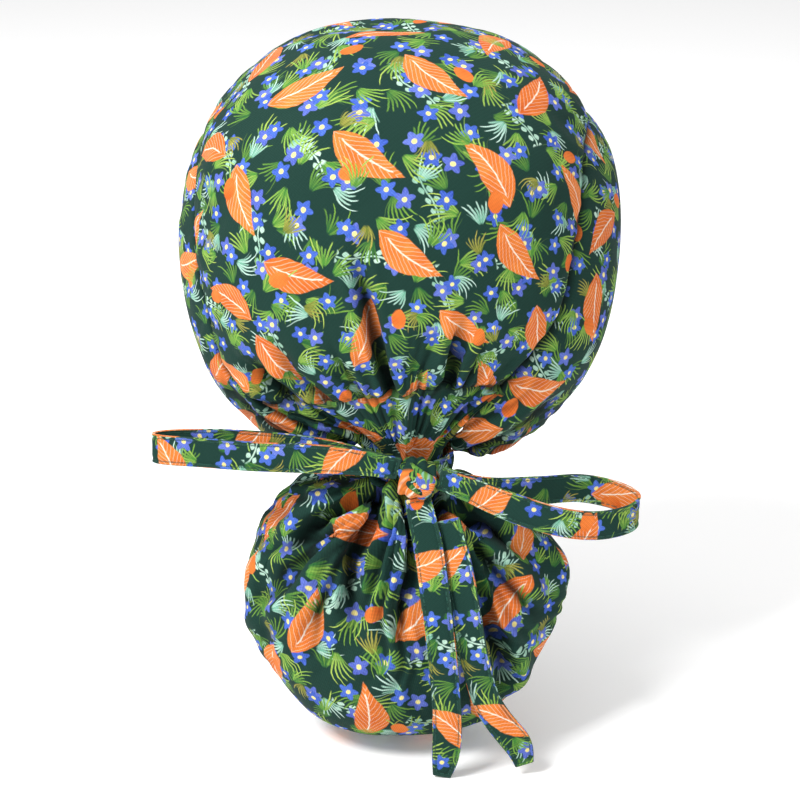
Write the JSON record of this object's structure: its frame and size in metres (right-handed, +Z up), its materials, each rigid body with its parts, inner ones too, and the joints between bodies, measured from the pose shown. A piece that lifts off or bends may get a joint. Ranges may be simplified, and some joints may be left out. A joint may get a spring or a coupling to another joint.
{
  "type": "surgical scrub cap with a ponytail pouch",
  "caption": "Soft cloth cap with a puffed crown, a band round the face opening, and a gathered hair pouch tied off at the nape with a bow.",
  "frame": {"origin": "middle of the hollow that the head fills, in the middle of the cap's width", "axes": "+X to the right in the back view of the picture, +Y towards the wearer's face, +Z up towards the top of the head"},
  "size_m": [0.2337, 0.2297, 0.3387],
  "materials": {
    "printed_cotton": "matt twill with a small tossed print of leaves, flowers and stems",
    "printed_cotton_tie": "the same twill, folded and topstitched along both edges"
  },
  "bodies": {
    "root": {"crown": "printed_cotton", "band": "printed_cotton", "nape_casing": "printed_cotton", "pouch": "printed_cotton", "tie_wrap": "printed_cotton_tie", "tie_knot": "printed_cotton_tie", "tie_loop_left": "printed_cotton_tie", "tie_loop_right": "printed_cotton_tie", "tie_tail_left": "printed_cotton_tie", "tie_tail_right": "printed_cotton_tie"}
  },
  "joints": []
}
